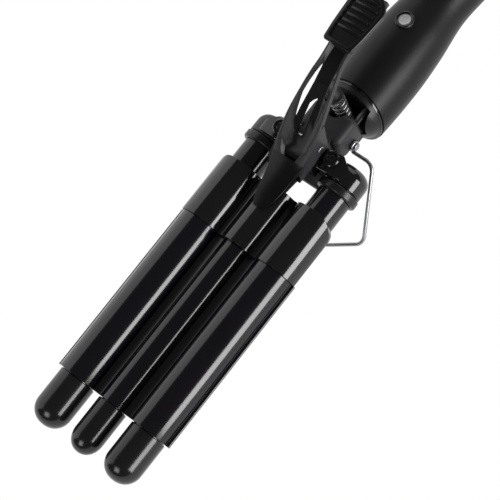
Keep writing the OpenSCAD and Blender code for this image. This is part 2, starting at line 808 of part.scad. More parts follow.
// Half of the recess over the middle band, from the pad to the nose
RECESS = [[recess_x1, 0], [recess_x1, lever_waist_hw - 1.6], [pivot_x - 36.5, band_hw + 0.9],
    [pivot_x - 30, lever_hw - 1.2 - strip_w], [pivot_x - 23, lever_hw - strip_w],
    [pivot_x - 18.5, lever_hw + 0.5 - strip_w], [pivot_x - 10.5, lever_hw - 0.9 - strip_w],
    [pivot_x, band_hw + 2.2], [recess_x0, band_hw], [recess_x0 + 3, 0]];

module lever_frame() {
    n = len(LEVER_EDGE);
    outline = concat(LEVER_EDGE, [for (i = [n - 1 : -1 : 0]) [LEVER_EDGE[i][0], -LEVER_EDGE[i][1]]]);
    cavity = ear_hw + loose;
    color("#2a2a2c") difference() {
        union() {
            intersection() {
                across(lever_hw + 3) lever_side();
                linear_extrude(height = far) polygon(outline);
            }
            translate([spring_x, 0, spring_top + 0.1]) {
                cylinder(h = 1.6, r = spring_r);
                cylinder(h = post_top - spring_top, r = 3.2);
            }
        }
        translate([pivot_x, cavity, pivot_z]) rotate([90, 0, 0]) cylinder(h = 2 * cavity, r = ear_r + 0.7);
        translate([pivot_x - far, -cavity, pivot_z - far]) cube([far + ear_r + 1.2, 2 * cavity, far]);
        translate([pivot_x, far / 2, pivot_z]) rotate([90, 0, 0]) cylinder(h = far, r = pin_r + fit);
        intersection() {
            across(far / 2) polygon(concat(line_down(band_drop), turned_round(line_down(-far))));
            linear_extrude(height = far) for (s = [-1, 1]) scale([1, s]) polygon(RECESS);
        }
        for (s = [-1, 1]) scale([1, s, 1]) linear_extrude(height = far) polygon(GAP);
        translate([slot_x0, -slot_w / 2, 0]) cube([slot_x1 - slot_x0, slot_w, far]);
        for (x = screw_xs) {
            translate([x, 0, 0]) cylinder(h = far, r = screw_r + fit);
            translate([x, 0, tongue_z + 1.4]) cylinder(h = far, r = head_r + fit);
        }
    }
}

screw_xs = [root_x + 4, root_x + 11];

// The thumb pad's outline seen from above: round behind, narrower in front
module pad_outline(inset) {
    r = pad_w / 2;
    translate([r, 0]) circle(r - inset);
    polygon([[r, r - inset], [pad_len - inset, pad_front_hw - inset], [pad_len - inset, inset - pad_front_hw],
        [r, inset - r]]);
}

module thumb_pad() {
    z0 = pad_z + fit;
    color("#1a1a1c") translate([pad_end_x, 0, z0]) {
        difference() {
            linear_extrude(height = pad_t) pad_outline(0);
            translate([0, 0, pad_t - pad_dish]) linear_extrude(height = pad_t) pad_outline(2.4);
        }
        for (i = [0 : pad_ribs - 1]) translate([7 + i * rib_pitch, 3.6 - pad_w / 2, pad_t - pad_dish - 0.1])
            cube([1.5, pad_w - 7.2, pad_dish - 0.2]);
    }
}

// The section through the jaw: wings over the outer barrels and a web to the middle barrel
module wings(r, mid) {
    difference() {
        union() {
            for (s = [-1, 1]) translate([s * barrel_pitch, barrel_z]) circle(r);
            translate([-barrel_pitch, barrel_z]) square([2 * barrel_pitch, web_t + 1]);
        }
        translate([-far / 2, barrel_z - far]) square([far, far]);
        for (s = [-1, 1]) translate([s * barrel_pitch, barrel_z]) circle(wing_in_r);
    }
    difference() {
        translate([0, barrel_z]) circle(mid);
        for (s = [-1, 1]) translate([s * barrel_pitch, barrel_z]) circle(wing_in_r);
    }
}

module jaw_root() {
    hw = barrel_pitch + root_r;
    color("#232325") difference() {
        intersection() {
            along_x(root_x, root_len) wings(root_r, root_mid_r);
            union() {
                translate([root_x + root_corner_r, -hw - 1, 0]) cube([far, 2 * hw + 2, far]);
                translate([root_x, -hw + root_corner_r, -far / 2]) cube([far, 2 * (hw - root_corner_r), far]);
                for (s = [-1, 1]) translate([root_x + root_corner_r, s * (hw - root_corner_r), 0])
                    cylinder(h = far, r = root_corner_r);
            }
        }
        rod(section_x - root_seat, far, mid_r + fit, 0, barrel_z);
        for (x = screw_xs) translate([x, 0, barrel_z + mid_r - 4]) cylinder(h = far, r = screw_r + fit);
    }
}

module jaw_section() {
    color("#161618") difference() {
        union() {
            along_x(section_x, section_len) {
                wings(wing_r, mid_r);
                for (s = [-1, 1]) translate([s * (barrel_pitch + wing_in_r + lip_w / 2) - lip_w / 2, barrel_z])
                    square([lip_w, section_wall]);
            }
            rod(section_x - root_seat, root_seat + 1, mid_r, 0, barrel_z);
        }
        rod(section_x - root_seat - 1, far, mid_r - section_wall, 0, barrel_z);
    }
}

module jaw_heater() {
    color("silver") translate([0, 0, barrel_z]) shoe(mid_r - section_wall - fit, heater_x, heater_len);
}

module jaw_screws() {
    color("silver") for (x = screw_xs) {
        translate([x, 0, barrel_z + mid_r - 3 + 3.4]) cylinder(h = tongue_z + 1.4 - barrel_z - mid_r - 0.4, r = screw_r);
        translate([x, 0, tongue_z + 1.4]) cylinder(h = 1.2, r = head_r);
    }
}

module swivel_gland() {
    color("#1d1d1f") difference() {
        union() {
            rod(0, swivel_len + 0.1, swivel_r);
            rod(swivel_len + 0.1, swivel_flange_t, swivel_flange_r);
        }
        rod(-1, far, inlet_r);
    }
}

// The stand's path in its own plane, from its right eye round to its left one
leg_u = rivet_head_r + loose + stand_r;
STAND = [[eye_r - 0.3, eye_y], [leg_u, eye_y], [leg_u, stand_hinge_hw], [stand_len - 19.8, stand_hw],
    [stand_len - 5.6, stand_foot_hw + 12.3], [stand_len, stand_foot_hw]];
STAND_PATH = concat(STAND, [for (i = [len(STAND) - 1 : -1 : 0]) [STAND[i][0], -STAND[i][1]]]);
function turn_at(p, i) = let (a = unit(p[i] - p[i - 1]), b = unit(p[i + 1] - p[i]))
    atan2(a[0] * b[1] - a[1] * b[0], a * b);
function bend_at(p, i) = i < 2 || i > len(p) - 3 ? eye_bend_r : stand_bend_r;
BEND_STEPS = 6;
function bend(p, i) = let (a = unit(p[i] - p[i - 1]), t = turn_at(p, i), r = sign(t) * bend_at(p, i),
    from = p[i] - abs(r * tan(t / 2)) * a, centre = from + r * [-a[1], a[0]], d = from - centre)
    [for (k = [0 : BEND_STEPS]) let (w = t * k / BEND_STEPS)
        [centre[0] + d[0] * cos(w) - d[1] * sin(w), centre[1] + d[0] * sin(w) + d[1] * cos(w), 0]];
STAND_LINE = concat([[STAND[0][0], STAND[0][1], 0]], [for (i = [1 : len(STAND_PATH) - 2]) each bend(STAND_PATH, i)],
    [[STAND[0][0], -STAND[0][1], 0]]);

// One unbroken tube along a path, with a direction across the path at each point
module tube(path, across, r, sides) {
    n = len(path);
    points = [for (i = [0 : n - 1]) let (d = unit(path[min(i + 1, n - 1)] - path[max(i - 1, 0)]),
        b = cross(d, across[i])) for (k = [0 : sides - 1]) let (a = 360 * k / sides)
        path[i] + r * (cos(a) * across[i] + sin(a) * b)];
    walls = [for (i = [0 : n - 2]) for (k = [0 : sides - 1]) let (a = i * sides + k,
        b = i * sides + (k + 1) % sides) each [[a, b + sides, b], [a, a + sides, b + sides]]];
    ends = [for (k = [1 : sides - 2]) each [[0, k, k + 1],
        [(n - 1) * sides, (n - 1) * sides + k + 1, (n - 1) * sides + k]]];
    polyhedron(points = points, faces = concat(walls, ends));
}

module stand_wire() {
    color("#c4c5c8") translate([stand_x, 0, stand_z]) {
        rotate([0, stand_slope, 0])
            tube(STAND_LINE, [for (p = STAND_LINE) [0, 0, 1]], stand_r, 12);
        for (s = [-1, 1]) translate([0, s * eye_y, 0]) rotate([90, 0, 0])
            rotate_extrude() translate([eye_r, 0]) circle(eye_wire_r, $fn = 32);
    }
}

grip_upper_shell();
grip_lower_shell();
nose_cap();
end_cap();
neck_block();
neck_chassis();
cross_plate();
yoke_arm_left();
yoke_arm_right();
collar_left();
collar_right();
heat_rings();
barrel_left();
barrel_right();
trough_plate();
cap_left();
cap_right();
heater_shoes();
heater_plates();
hinge_pin();
stand_rivets();
return_spring();
button_bezel();
circuit_board();
board_parts();
tact_switch();
lead_wires();
mains_wires();
grip_screws();
yoke_screws();
lever_frame();
thumb_pad();
jaw_root();
jaw_section();
cap_middle();
jaw_heater();
jaw_screws();
stand_wire();
power_button();
swivel_gland();
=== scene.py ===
# %% [markdown]
# # A hair waver, piece by piece
# This lesson dresses a finished mechanical model of a three-barrel hair waver. The model gives every
# part's size and place, and its joints. Here each visible part gets its real surface: soft edges,
# ribs, seams and the finish that the plastic, steel and coated aluminium have.

# %% Load the mechanical model
import bpy
from math import asin, atan2, cos, degrees, hypot, pi, radians, sin, sqrt
from mathutils import Matrix, Vector


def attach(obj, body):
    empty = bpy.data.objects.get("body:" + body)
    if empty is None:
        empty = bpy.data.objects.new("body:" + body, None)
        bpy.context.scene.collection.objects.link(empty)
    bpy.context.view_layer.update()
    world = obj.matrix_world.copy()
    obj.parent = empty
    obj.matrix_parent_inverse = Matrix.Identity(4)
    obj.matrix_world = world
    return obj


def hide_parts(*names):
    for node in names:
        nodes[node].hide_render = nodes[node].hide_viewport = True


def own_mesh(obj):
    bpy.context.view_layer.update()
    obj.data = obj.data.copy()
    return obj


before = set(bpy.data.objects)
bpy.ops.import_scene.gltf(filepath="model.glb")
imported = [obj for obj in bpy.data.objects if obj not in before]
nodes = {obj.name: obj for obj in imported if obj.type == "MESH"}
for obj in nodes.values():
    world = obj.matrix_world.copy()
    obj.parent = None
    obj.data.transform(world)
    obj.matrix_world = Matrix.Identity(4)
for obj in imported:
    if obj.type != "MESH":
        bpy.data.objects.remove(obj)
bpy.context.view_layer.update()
print("parts in the mechanical model:", len(nodes))

# %% [markdown]
# The waver lies along X: the grip's rear end is at the origin, the barrel tips are at +X and the
# thumb lever is on the +Z side. All sizes here are written in millimetres, because a maker thinks in
# them, and turned into metres by one small function. The places that several pieces share get a name.

# %% Units and main places
def mm(*values):
    scaled = [v / 1000 for v in values]
    return scaled[0] if len(scaled) == 1 else tuple(scaled)

ALONG, ACROSS, UPWARD = (1, 0, 0), (0, 1, 0), (0, 0, 1)
SIDES = (-1, 1)
BARREL_Y, BARREL_Z = 27.8, 7.5
HINGE_X, HINGE_Z = 195.0, 27.5
SPRING_X, SPRING_LOW, SPRING_TOP = 165.2, -0.5, 29.5
STAND_X, STAND_Z = 177.4, 4.5
ROOT_X, SECTION_X, CAP_X, TIP_X = 224.2, 264.0, 377.0, 409.0
print("barrels are", 2 * BARREL_Y, "mm apart, the tool is", TIP_X, "mm long")

# %% [markdown]
# ## Camera
# The photograph looks down on the tool from the lever's side, with the tips at the lower left. The
# camera stands about 1.1 metres away with a long lens, so that the far end hardly shrinks. Its turn
# is built from two directions: from the tool toward the camera, and the level line of the picture.

# %% Camera
toward = Vector((0.1290, 0.4432, 0.8871)).normalized()
level = Vector((-0.6147, 0.7377, -0.2792))
right = (level - level.dot(toward) * toward).normalized()
up = toward.cross(right)
place = Vector(mm(397.6, 476.2, 947.2))
bpy.ops.object.camera_add(location=place)
camera = bpy.context.object
camera.matrix_world = Matrix.Translation(place) @ Matrix((right, up, toward)).transposed().to_4x4()
camera.data.sensor_width = 36
camera.data.lens = 135.5
camera.data.clip_end = 20
bpy.context.scene.camera = camera
print("camera", round(place.length, 3), "m away, lens", camera.data.lens, "mm")

# %% [markdown]
# ## Materials
# Every finish on this tool is nearly black, so the difference is in the gloss and in the fine
# texture. A single colour would look like a toy, and an image would need unwrapping. So each material
# is a small node tree: noise at the scale of the real grain bends the surface a little and varies its
# roughness, so that a highlight is never perfectly even.

# %% A finish from noise and a shader
def finish_of(name, colour, roughness, grain=3000, bump=0.05, spread=0.06, metallic=0.0, coat=0.0,
              coat_rough=0.05, specular=0.5, tint=None, patches=45):
    """Grain and patches are noise scales, bump is the grain's depth, and tint the second colour."""
    material = bpy.data.materials.new(name)
    material.use_nodes = True
    tree = material.node_tree
    shader = tree.nodes["Principled BSDF"]
    shader.inputs["Metallic"].default_value = metallic
    shader.inputs["Coat Weight"].default_value = coat
    shader.inputs["Coat Roughness"].default_value = coat_rough
    shader.inputs["Specular IOR Level"].default_value = specular
    place = tree.nodes.new("ShaderNodeTexCoord")
    noise = tree.nodes.new("ShaderNodeTexNoise")
    noise.inputs["Scale"].default_value = grain
    noise.inputs["Detail"].default_value = 3
    tree.links.new(place.outputs["Object"], noise.inputs["Vector"])
    ramp = tree.nodes.new("ShaderNodeMapRange")
    ramp.inputs["To Min"].default_value = max(roughness - spread, 0.02)
    ramp.inputs["To Max"].default_value = roughness + spread
    tree.links.new(noise.outputs["Fac"], ramp.inputs["Value"])
    tree.links.new(ramp.outputs["Result"], shader.inputs["Roughness"])
    wide = tree.nodes.new("ShaderNodeTexNoise")
    wide.inputs["Scale"].default_value = patches
    tree.links.new(place.outputs["Object"], wide.inputs["Vector"])
    mix = tree.nodes.new("ShaderNodeMix")
    mix.data_type = "RGBA"
    mix.inputs["A"].default_value = (*colour, 1)
    mix.inputs["B"].default_value = (*(tint or [c * 1.25 for c in colour]), 1)
    tree.links.new(wide.outputs["Fac"], mix.inputs["Factor"])
    tree.links.new(mix.outputs["Result"], shader.inputs["Base Color"])
    if bump:
        relief = tree.nodes.new("ShaderNodeBump")
        relief.inputs["Strength"].default_value = bump
        relief.inputs["Distance"].default_value = 0.0002
        tree.links.new(noise.outputs["Fac"], relief.inputs["Height"])
        tree.links.new(relief.outputs["Normal"], shader.inputs["Normal"])
    return material

# %% [markdown]
# The grip has a soft coat with a fine grain. Neck, plate and lever are satin plastic from an etched
# mould, and the arms, the ring and the root cover come glossy from a polished one. The barrels carry
# a smooth dark coating. The grains are far finer than the pieces, as they are on the real surfaces.

# %% Plastic and rubber finishes
grip_coat = finish_of("soft_grip_coat", (0.006, 0.006, 0.0065), 0.36, grain=5200, bump=0.16, specular=0.2)
satin_black = finish_of("satin_black_plastic", (0.007, 0.007, 0.0075), 0.34, grain=3600, bump=0.06,
                        specular=0.3)
cap_black = finish_of("cap_black_plastic", (0.006, 0.006, 0.0065), 0.19, grain=3600, bump=0.04,
                      specular=0.45)
# Painted light: the left collar is the same glossy black cup as the right one, and this lighter matte grey
# stands for how lamp-lit it looks.
painted_light_collar_grey = finish_of("collar_painted_light_grey", (0.03, 0.03, 0.032), 0.42, grain=3600, bump=0.08, specular=0.3)
neck_grey = finish_of("neck_grey_plastic", (0.022, 0.022, 0.0235), 0.48, grain=3600, bump=0.14,
                      specular=0.25)
plate_grey = finish_of("plate_grey_plastic", (0.10, 0.10, 0.104), 0.5, grain=3600, bump=0.1, specular=0.3)
gloss_black = finish_of("gloss_black_plastic", (0.004, 0.004, 0.0043), 0.12, bump=0.02, spread=0.03,
                        specular=0.45, coat=0.2)
lever_grey = finish_of("lever_grey_plastic", (0.026, 0.026, 0.0275), 0.36, grain=3600, bump=0.08,
                       specular=0.26)
band_black = finish_of("lever_band_plastic", (0.0035, 0.0035, 0.0038), 0.24, grain=3600, bump=0.03,
                       specular=0.22)
ring_black = finish_of("heat_ring_plastic", (0.007, 0.007, 0.0075), 0.3, grain=3600, bump=0.05,
                       specular=0.35)
root_black = finish_of("root_cover_plastic", (0.0045, 0.0045, 0.005), 0.13, grain=3600, bump=0.015,
                       spread=0.03, coat=0.2)
pad_black = finish_of("pad_rubber", (0.004, 0.004, 0.0043), 0.2, grain=5200, bump=0.08, specular=0.42)
wire_cover = finish_of("wire_cover", (0.02, 0.02, 0.021), 0.45, specular=0.3)
board_green = finish_of("board_lacquer", (0.02, 0.11, 0.04), 0.3)
board_part = finish_of("board_parts_plastic", (0.22, 0.18, 0.1), 0.35)
ceramic = finish_of("heater_ceramic", (0.7, 0.68, 0.62), 0.4)

# %% Metal and coating finishes
barrel_coat = finish_of("barrel_coating", (0.002, 0.0017, 0.0024), 0.15, grain=1500, bump=0.02, spread=0.04,
                        coat=0.1, coat_rough=0.1, tint=(0.004, 0.003, 0.005))
steel = finish_of("turned_steel", (0.42, 0.42, 0.43), 0.26, grain=2600, bump=0.03, metallic=1.0)
bright_steel = finish_of("bright_steel", (0.30, 0.30, 0.31), 0.32, grain=2600, bump=0.03, metallic=1.0,
                         spread=0.05, tint=(0.38, 0.38, 0.39))
dark_steel = finish_of("dark_screw_steel", (0.07, 0.07, 0.075), 0.3, grain=2600, bump=0.03, metallic=1.0)
spring_steel = finish_of("spring_steel", (0.15, 0.15, 0.155), 0.26, grain=2600, bump=0.03, metallic=1.0,
                         tint=(0.22, 0.22, 0.225))
aluminium = finish_of("plain_aluminium", (0.6, 0.6, 0.61), 0.35, metallic=1.0)
silver_paint = finish_of("silver_button_paint", (0.10, 0.10, 0.105), 0.34, grain=1100, bump=0.8,
                         metallic=0.4, tint=(0.72, 0.72, 0.73), patches=1300)
print("finishes:", len(bpy.data.materials))

# %% [markdown]
# Every part of the mechanical model gets its finish first. Parts that nobody sees, such as the
# heaters and the circuit board, keep their plain shape and only need the right material. So do the
# grip's shells and the outer barrels, whose solids have the real shape already.

# %% Dress the mechanical parts
NODE_FINISH = {
    grip_coat: ["grip_upper_shell", "grip_lower_shell"],
    satin_black: ["nose_cap", "end_cap", "thumb_pad", "swivel_gland", "heat_rings", "jaw_root"],
    cap_black: ["cap_left", "cap_right", "cap_middle"],
    # The left collar's grey is painted light; the right collar is the same part in gloss black.
    painted_light_collar_grey: ["collar_left"],
    neck_grey: ["neck_block"],
    plate_grey: ["cross_plate"],
    gloss_black: ["yoke_arm_left", "yoke_arm_right", "collar_right", "button_bezel"],
    lever_grey: ["lever_frame"],
    barrel_coat: ["barrel_left", "barrel_right", "trough_plate", "jaw_section"],
    steel: ["neck_chassis", "grip_screws", "yoke_screws", "jaw_screws"],
    bright_steel: ["hinge_pin", "stand_rivets", "return_spring", "stand_wire"],
    aluminium: ["heater_shoes", "jaw_heater"],
    ceramic: ["heater_plates"],
    board_green: ["circuit_board"],
    board_part: ["board_parts", "tact_switch"],
    wire_cover: ["lead_wires", "mains_wires"],
    silver_paint: ["power_button"]}
for material, names in NODE_FINISH.items():
    for name in names:
        nodes[name].data.materials.clear()
        nodes[name].data.materials.append(material)
print("parts dressed:", sum(len(names) for names in NODE_FINISH.values()))

# %% [markdown]
# ## Ways to start a shape
# Nearly every part of this tool was turned, moulded along a line or bent from wire. So a few small
# functions are enough to begin with: a line of edges, a turned body, a flat outline pushed out to a
# thickness, and a section carried through stations. They all start from one primitive and go on with
# extrude, spin and resize, as a modeller does by hand.

# %% A line of edges
SEAM = 1e-6

def deselect():
    if bpy.context.object and bpy.context.object.mode != "OBJECT":
        bpy.ops.object.mode_set(mode="OBJECT")
    bpy.ops.object.select_all(action="DESELECT")

def edit_all():
    bpy.ops.object.mode_set(mode="EDIT")
    bpy.ops.mesh.select_all(action="SELECT")

def leave():
    bpy.ops.object.mode_set(mode="OBJECT")
    return bpy.context.object

def wire(points):
    """A plane is merged to one corner, and the corner is extruded from point to point."""
    deselect()
    bpy.ops.mesh.primitive_plane_add(size=mm(1), location=mm(*points[0]))
    bpy.ops.object.transform_apply(location=True)
    edit_all()
    bpy.ops.mesh.merge(type="CENTER")
    for a, b in zip(points, points[1:]):
        step = mm(*[q - p for p, q in zip(a, b)])
        bpy.ops.mesh.extrude_region_move(TRANSFORM_OT_translate={"value": step})
    bpy.ops.mesh.select_all(action="SELECT")
    bpy.ops.mesh.remove_doubles(threshold=SEAM)
    return leave()

def arc(a, b, r, start, stop, step=6):
    """Points of a circle about (a, b), from one angle to another, in degrees."""
    count = max(2, int(abs(stop - start) / step))
    turns = [radians(start + (stop - start) * k / count) for k in range(count + 1)]
    return [(a + r * cos(turn), b + r * sin(turn)) for turn in turns]

# %% Turned bodies
def outward(piece):
    edit_all()
    bpy.ops.mesh.normals_make_consistent(inside=False)
    return leave()

def spun(line, centre, axis, steps, gap):
    wire(line)
    edit_all()
    bpy.ops.mesh.spin(steps=steps, angle=2 * pi, center=mm(*centre), axis=axis)
    bpy.ops.mesh.select_all(action="SELECT")
    bpy.ops.mesh.remove_doubles(threshold=gap)
    return outward(leave())

def lathe(profile, y=0.0, z=0.0):
    """A body turned about a line along the tool, from places along it and radii."""
    return spun([(x, y, z + r) for x, r in profile], (profile[0][0], y, z), ALONG, 96, SEAM)

def lathe_up(profile, x, y, steps=48):
    """A body turned about an upright axis, from radii and heights."""
    return spun([(x + r, y, z) for r, z in profile], (x, y, 0), UPWARD, steps, 2 * SEAM)

# %% A pushed-out outline and a carried section
def prism(points, push):
    wire(points + points[:1])
    edit_all()
    bpy.ops.mesh.edge_face_add()
    bpy.ops.mesh.extrude_region_move(TRANSFORM_OT_translate={"value": mm(*push)})
    return outward(leave())

def loft(section, stations):
    """Each station is a place and how wide and tall the section is there."""
    x, y, z, wide, tall = stations[0]
    wire([(x, y + v * wide, z + w * tall) for v, w in section + section[:1]])
    edit_all()
    bpy.ops.mesh.edge_face_add()
    for a, b in zip(stations, stations[1:]):
        step = mm(*[q - p for p, q in zip(a[:3], b[:3])])
        bpy.ops.mesh.extrude_region_move(TRANSFORM_OT_translate={"value": step})
        bpy.ops.transform.resize(value=(1, b[3] / a[3], b[4] / a[4]), center_override=mm(*b[:3]))
    return outward(leave())

# %% [markdown]
# Blocks and pins are primitives at their real size. `combine` joins or cuts two bodies, as a mould's
# core cuts a hole, and `soften` rounds edges that are sharper than an angle.

# %% Blocks, pins and joins
def block(low, high):
    deselect()
    middle = [(a + b) / 2 for a, b in zip(low, high)]
    size = [b - a for a, b in zip(low, high)]
    bpy.ops.mesh.primitive_cube_add(size=1, location=mm(*middle), scale=mm(*size))
    bpy.ops.object.transform_apply(location=True, scale=True)
    return bpy.context.object

def pin(start, axis, radius, length, sides=48):
    deselect()
    axis = Vector(axis).normalized()
    middle = Vector(start) + axis * length / 2
    bpy.ops.mesh.primitive_cylinder_add(vertices=sides, radius=mm(radius), depth=mm(length),
                                        location=mm(*middle),
                                        rotation=axis.to_track_quat("Z", "Y").to_euler())
    bpy.ops.object.transform_apply(location=True, rotation=True)
    return bpy.context.object

def pick(piece):
    deselect()
    piece.select_set(True)
    bpy.context.view_layer.objects.active = piece
    return piece

def modify(piece, kind, **settings):
    pick(piece)
    modifier = piece.modifiers.new(kind.lower(), kind)
    for key, value in settings.items():
        setattr(modifier, key, value)
    bpy.ops.object.modifier_apply(modifier=modifier.name)
    return piece

def soften(piece, width, segments, sharper_than=50):
    return modify(piece, "BEVEL", width=mm(width), segments=segments, limit_method="ANGLE",
                  angle_limit=radians(sharper_than))

def combine(piece, other, operation):
    modify(piece, "BOOLEAN", object=other, operation=operation, solver="EXACT")
    bpy.data.objects.remove(other, do_unlink=True)
    return piece

def join(*parts):
    deselect()
    for part in parts:
        part.select_set(True)
    bpy.context.view_layer.objects.active = parts[0]
    bpy.ops.object.join()
    return parts[0]

# %% [markdown]
# A cut leaves slivers, and a highlight breaks on them. `settle` rounds the edges, merges what is
# smaller than a few thousandths of a millimetre, smooths the shading and gives the finish. It also
# says which mechanical part the piece stands for and what it moves with. Rounded edges are smoothed
# up to a smaller angle, so that the flat faces beside them stay flat in a highlight.

# %% The last touches on a piece
SLIVER = 0.004
SMOOTH_ROUNDED = 20

def settle(piece, name, finish, body, stands_for=(), edge=0.0, crease=32, steps=3):
    if edge:
        soften(piece, edge, steps, crease)
    pick(piece)
    edit_all()
    bpy.ops.mesh.remove_doubles(threshold=mm(SLIVER))
    bpy.ops.mesh.dissolve_degenerate(threshold=mm(SLIVER))
    outward(leave())
    bpy.ops.object.shade_smooth_by_angle(angle=radians(SMOOTH_ROUNDED if edge else crease))
    piece.name = name
    piece.data.materials.clear()
    piece.data.materials.append(finish)
    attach(piece, body)
    if stands_for:
        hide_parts(*stands_for)
    print(name, "has", len(piece.data.polygons), "faces")
    return piece

# %% [markdown]
# ## Grip
# The grip's two moulded halves, its nose and its end have their real shape in the mechanical model
# already, so they only get their finish. What they lack is the thin glossy ring between the grip's
# rim and the nose. It could be bent along the slanted rim, but a real one is cut from a tube. So it is
# turned, and then parted twice along the same slant as the rim.

# %% Ring at the grip's front
def part_at(piece, point, normal):
    """Cuts a piece with a plane, closes it there and keeps the side behind the normal."""
    pick(piece)
    edit_all()
    bpy.ops.mesh.bisect(plane_co=mm(*point), plane_no=normal, use_fill=True, clear_outer=True)
    return outward(leave())

GRIP_FRONT = 157.5
RIM_LEAN = radians(16.5)
AHEAD, BEHIND = (cos(RIM_LEAN), 0, sin(RIM_LEAN)), (-cos(RIM_LEAN), 0, -sin(RIM_LEAN))
ring_in, ring_out = 18.0, 20.6
ring = lathe([(140, ring_in), (140, ring_out), (175, ring_out), (175, ring_in), (140, ring_in)])
ring = part_at(ring, (GRIP_FRONT + 0.1, 0, 0), BEHIND)
ring = part_at(ring, (GRIP_FRONT + 1.5, 0, 0), AHEAD)
settle(ring, "nose_ring", gloss_black, "grip_body", edge=0.45, steps=4)

# %% [markdown]
# ## Neck
# The neck is one moulding: a block with well rounded edges, two ears for the hinge pin, and a round
# pocket for the foot of the spring. Two strips of steel carry it from inside the grip, and two narrow
# holes let the heaters' leads through. Only the block is rounded, before the rest is joined, because a
# bevel over crossing bodies breaks up.

# %% Neck block
NECK_BACK = 166.7
EAR_Y, EAR_THICK, EAR_R = 5.6, 3.8, 5.9
LEAD_Y, LEAD_Z, LEAD_HOLE = 11.5, 10, 1.05

neck = soften(block((167, -15, SPRING_LOW), (187, 15, 19.5)), 4.2, 6, 40)
combine(neck, block((160.5, -12, -6.3), (173, 12, -0.2)), "UNION")
combine(neck, block((181, -9.4, 5.6), (205, 9.4, 19.4)), "UNION")
ear_line = [(HINGE_X - EAR_R, 6), (HINGE_X + EAR_R, 6)] + arc(HINGE_X, HINGE_Z, EAR_R, 0, 180, 12)
for side in SIDES:
    ear = prism([(x, side * EAR_Y, z) for x, z in ear_line], (0, side * EAR_THICK, 0))
    combine(neck, ear, "UNION")
combine(neck, pin((NECK_BACK, 0, SPRING_LOW), UPWARD, 7, 30), "DIFFERENCE")
combine(neck, block((155, -7, SPRING_LOW), (NECK_BACK, 7, 30)), "DIFFERENCE")
for side in SIDES:
    combine(neck, pin((160, side * LEAD_Y, LEAD_Z), ALONG, LEAD_HOLE, 40, 24), "DIFFERENCE")
settle(neck, "neck_moulding", neck_grey, "grip_body", ("neck_block",))
spigot = pin((SPRING_X, 0, SPRING_LOW), UPWARD, 3.1, 3)
settle(spigot, "spring_spigot", neck_grey, "grip_body", edge=0.4)

# %% [markdown]
# The cross plate ties both collars to the neck. It is a flat grey plate with a scoop at each end,
# where it lies against a cup and its ring. The scoops are cut with pins a little larger than those.

# %% Cross plate
CUP_CLEAR, RING_CLEAR = 12.25, 12.95
plate = block((190, -23.8, 1.5), (210, 23.8, 5.5))
for side in SIDES:
    for x, radius, length in ((180, CUP_CLEAR, 24), (203.9, RING_CLEAR, 20)):
        combine(plate, pin((x, side * BARREL_Y, BARREL_Z), ALONG, radius, length), "DIFFERENCE")
settle(plate, "cross_plate_moulding", plate_grey, "grip_body", ("cross_plate",), edge=0.5)

# %% [markdown]
# ## Yoke arms, collars and rings
# Each outer barrel ends in a cup with a big round on its rear edge, then a narrow groove and a heat
# ring. All of them are round, so they are turned, with the rounds drawn into their profiles.

# %% Collars and heat rings
cup_line = ([(189.5, 0)] + arc(196.5, 5.2, 7, 180, 90, 9)
            + [(203.0, 12.2), (203.5, 11.8), (203.5, 10.6), (196.6, 10.6), (196.6, 0)])
# Both cups are one part, mirrored; the left one's lighter grey is painted light, not a different plastic.
for side, name, finish, slot in ((-1, "left", painted_light_collar_grey, "dark_grey"),
                                 (1, "right", gloss_black, "gloss_black")):
    cup = lathe(cup_line, side * BARREL_Y, BARREL_Z)
    settle(cup, "collar_cup_" + name, finish, "grip_body", ("collar_" + name,))
ring_line = [(204.0, 10.6), (204.0, 12.4), (204.5, 12.9), (208.2, 12.9), (209.0, 12.1), (209.0, 10.6),
             (204.0, 10.6)]
rings = [lathe(ring_line, side * BARREL_Y, BARREL_Z) for side in SIDES]
settle(join(*rings), "heat_ring_pair", ring_black, "grip_body", ("heat_rings",), edge=0.15)

# %% [markdown]
# A glossy casting lies over each cup and carries a round boss with a sunken screw. Its section is
# drawn once, looking along the tool, and pushed forward. One rear corner is cut off at a slant, the
# boss is turned and joined on, and then the cup's round is cut out of its underside.

# %% Yoke arms
BOSS_X, BOSS_Y, BOSS_R = 195, 18.9, 4.8
HOLE_R, HOLE_FLOOR = 2.75, 21.9
ARM_SECTION = [(9.9, 5.6), (9.9, 17.6), (13.9, 20.0), (18.9, 21.6), (25.8, 21.0), (29.4, 20.4),
               (32.7, 18.2), (32.7, 8), (18.9, 5.6)]
BOSS_LINE = [(0, 7.5), (BOSS_R, 7.5), (BOSS_R, 22.9), (4.2, 23.5), (2.9, 23.5), (HOLE_R, 23.2),
             (HOLE_R, HOLE_FLOOR), (0, HOLE_FLOOR)]

def arm(side):
    body = prism([(189.2, side * y, z) for y, z in ARM_SECTION], (13.5, 0, 0))
    soften(body, 1.2, 3, 20)
    corner = prism([(186, side * 19, 0), (186, side * 36, 0), (198.5, side * 36, 0)], (0, 0, 40))
    combine(body, corner, "DIFFERENCE")
    combine(body, lathe_up(BOSS_LINE, BOSS_X, side * BOSS_Y), "UNION")
    combine(body, pin((BOSS_X, side * BOSS_Y, HOLE_FLOOR), UPWARD, HOLE_R, 4), "DIFFERENCE")
    combine(body, pin((180, side * BARREL_Y, BARREL_Z), ALONG, CUP_CLEAR, 40, 96), "DIFFERENCE")
    return body

for side, name in ((-1, "left"), (1, "right")):
    settle(arm(side), "yoke_casting_" + name, gloss_black, "grip_body",
           ("yoke_arm_" + name,))

# %% [markdown]
# The screws sit deep in their bosses, so only their heads and the crossed slots are ever seen. Each
# head is a short pin with two narrow blocks cut out of it.

